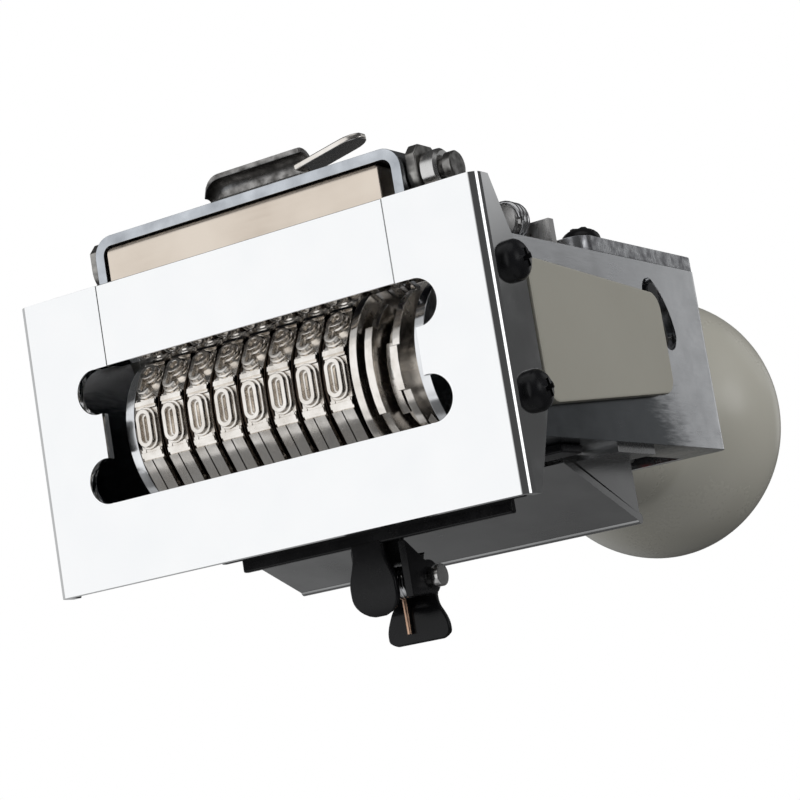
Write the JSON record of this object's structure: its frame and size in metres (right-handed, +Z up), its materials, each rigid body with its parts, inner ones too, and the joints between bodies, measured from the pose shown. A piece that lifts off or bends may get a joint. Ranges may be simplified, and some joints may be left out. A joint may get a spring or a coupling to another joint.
{
  "type": "hand numbering machine",
  "caption": "Hand-operated self-inking numbering stamp with digit wheels, a plunger knob, a swinging ink pad and a finger latch, shown pressed and latched.",
  "frame": {"origin": "middle of the foot plate's underside, on the plunger's axis", "axes": "+Z up along the plunger to the knob, -Y towards the ink pad at the front, +X to the right side"},
  "size_m": [0.07, 0.0592, 0.119],
  "materials": {
    "bright_sheet": "polished plate",
    "nickel": "satin nickel plate",
    "nickel_case": "matt nickel plate",
    "black_oxide": "black oxide",
    "bright_steel": "turned",
    "spring_steel": "drawn wire",
    "dark_steel": "blued",
    "bronze": "dull bronze",
    "beige_plastic": "satin moulded",
    "black_plastic": "satin moulded",
    "felt": "inked felt"
  },
  "bodies": {
    "frame": {"foot_plate": "bright_sheet", "foot_front_bar": "bright_sheet", "foot_screws": "black_oxide", "frame_yoke": "bright_sheet", "front_plate": "bright_sheet", "front_plate_screws": "black_oxide", "side_cover_right": "beige_plastic", "side_cover_left": "beige_plastic", "plunger_bush": "nickel", "rear_guard": "bright_sheet", "latch_bar": "black_oxide", "latch_pin": "bright_steel", "latch_spring": "spring_steel", "dial_bracket": "black_oxide", "lever_pin": "black_oxide", "pad_springs": "spring_steel", "spring_posts": "nickel", "return_spring": "spring_steel"},
    "carriage": {"carriage_frame": "bright_sheet", "plunger_rod": "bright_steel", "plunger_nut": "black_oxide", "handle_knob": "beige_plastic", "wheel_shaft": "bright_steel", "shaft_clips": "bright_steel", "wheel_spacers": "bronze", "drive_disc": "nickel", "repeat_discs": "nickel", "detent_bar": "nickel", "detent_springs": "spring_steel", "pad_pivot_pins": "bright_steel"},
    "pawls": {"pawl_carrier": "nickel"},
    "pad": {"pad_arm_right": "black_oxide", "pad_arm_left": "black_oxide", "pad_holder": "bright_sheet", "pad_case": "nickel_case", "ink_pad": "felt", "holder_pins": "bright_steel"},
    "pad_clip": {"pad_clip_lever": "dark_steel", "pad_clip_tab": "nickel"},
    "latch": {"latch_lever": "black_oxide"},
    "dial": {"selector_dial": "black_plastic"},
    "lever": {"drive_lever": "black_oxide"},
    "wheel_1": {"digit_wheel_1": "nickel"},
    "wheel_2": {"digit_wheel_2": "nickel"},
    "wheel_3": {"digit_wheel_3": "nickel"},
    "wheel_4": {"digit_wheel_4": "nickel"},
    "wheel_5": {"digit_wheel_5": "nickel"},
    "wheel_6": {"digit_wheel_6": "nickel"},
    "wheel_7": {"digit_wheel_7": "nickel"},
    "wheel_8": {"digit_wheel_8": "nickel"}
  },
  "joints": [
    {"name": "plunger_slide", "type": "slide", "parent": "frame", "child": "carriage", "axis": [0, 0, 1], "range_m": [0, 0.022], "deforming": ["return_spring"]},
    {"name": "pad_swing", "type": "hinge", "parent": "carriage", "child": "pad", "pos_m": [0, -0.005, 0.014], "axis": [1, 0, 0], "range_deg": [0, 90]},
    {"name": "pawl_swing", "type": "hinge", "parent": "carriage", "child": "pawls", "pos_m": [0, 0, 0.0133], "axis": [1, 0, 0], "range_deg": [-36, 0]},
    {"name": "drive_lever_swing", "type": "hinge", "parent": "frame", "child": "lever", "pos_m": [0.0296, -0.0015, 0.0385], "axis": [1, 0, 0], "range_deg": [-42, 0]},
    {"name": "selector_turn", "type": "hinge", "parent": "frame", "child": "dial", "pos_m": [0.0155, 0.0099, 0.0494], "axis": [0, 1, 0], "continuous": true},
    {"name": "latch_press", "type": "hinge", "parent": "frame", "child": "latch", "pos_m": [0, 0.0223, 0.026], "axis": [1, 0, 0], "range_deg": [-20, 0], "stiffness_Nm_per_rad": 0.02, "springref_deg": 2.86},
    {"name": "pad_clip_lift", "type": "hinge", "parent": "pad", "child": "pad_clip", "pos_m": [0, -0.0252, 0.0062], "axis": [1, 0, 0], "range_deg": [0, 20], "stiffness_Nm_per_rad": 0.02, "springref_deg": -2.86},
    {"name": "wheel_1_spin", "type": "hinge", "parent": "carriage", "child": "wheel_1", "pos_m": [-0.0181, 0, 0.0133], "axis": [1, 0, 0], "continuous": true},
    {"name": "wheel_2_spin", "type": "hinge", "parent": "carriage", "child": "wheel_2", "pos_m": [-0.01418, 0, 0.0133], "axis": [1, 0, 0], "continuous": true},
    {"name": "wheel_3_spin", "type": "hinge", "parent": "carriage", "child": "wheel_3", "pos_m": [-0.01026, 0, 0.0133], "axis": [1, 0, 0], "continuous": true},
    {"name": "wheel_4_spin", "type": "hinge", "parent": "carriage", "child": "wheel_4", "pos_m": [-0.00634, 0, 0.0133], "axis": [1, 0, 0], "continuous": true},
    {"name": "wheel_5_spin", "type": "hinge", "parent": "carriage", "child": "wheel_5", "pos_m": [-0.00242, 0, 0.0133], "axis": [1, 0, 0], "continuous": true},
    {"name": "wheel_6_spin", "type": "hinge", "parent": "carriage", "child": "wheel_6", "pos_m": [0.0015, 0, 0.0133], "axis": [1, 0, 0], "continuous": true},
    {"name": "wheel_7_spin", "type": "hinge", "parent": "carriage", "child": "wheel_7", "pos_m": [0.00542, 0, 0.0133], "axis": [1, 0, 0], "continuous": true},
    {"name": "wheel_8_spin", "type": "hinge", "parent": "carriage", "child": "wheel_8", "pos_m": [0.00934, 0, 0.0133], "axis": [1, 0, 0], "continuous": true}
  ],
  "couplings": [
    {"joint": "pad_swing", "follows": "plunger_slide", "rad_per_m": 71.399},
    {"joint": "pawl_swing", "follows": "plunger_slide", "rad_per_m": -28.56},
    {"joint": "drive_lever_swing", "follows": "plunger_slide", "rad_per_m": -33.32}
  ]
}
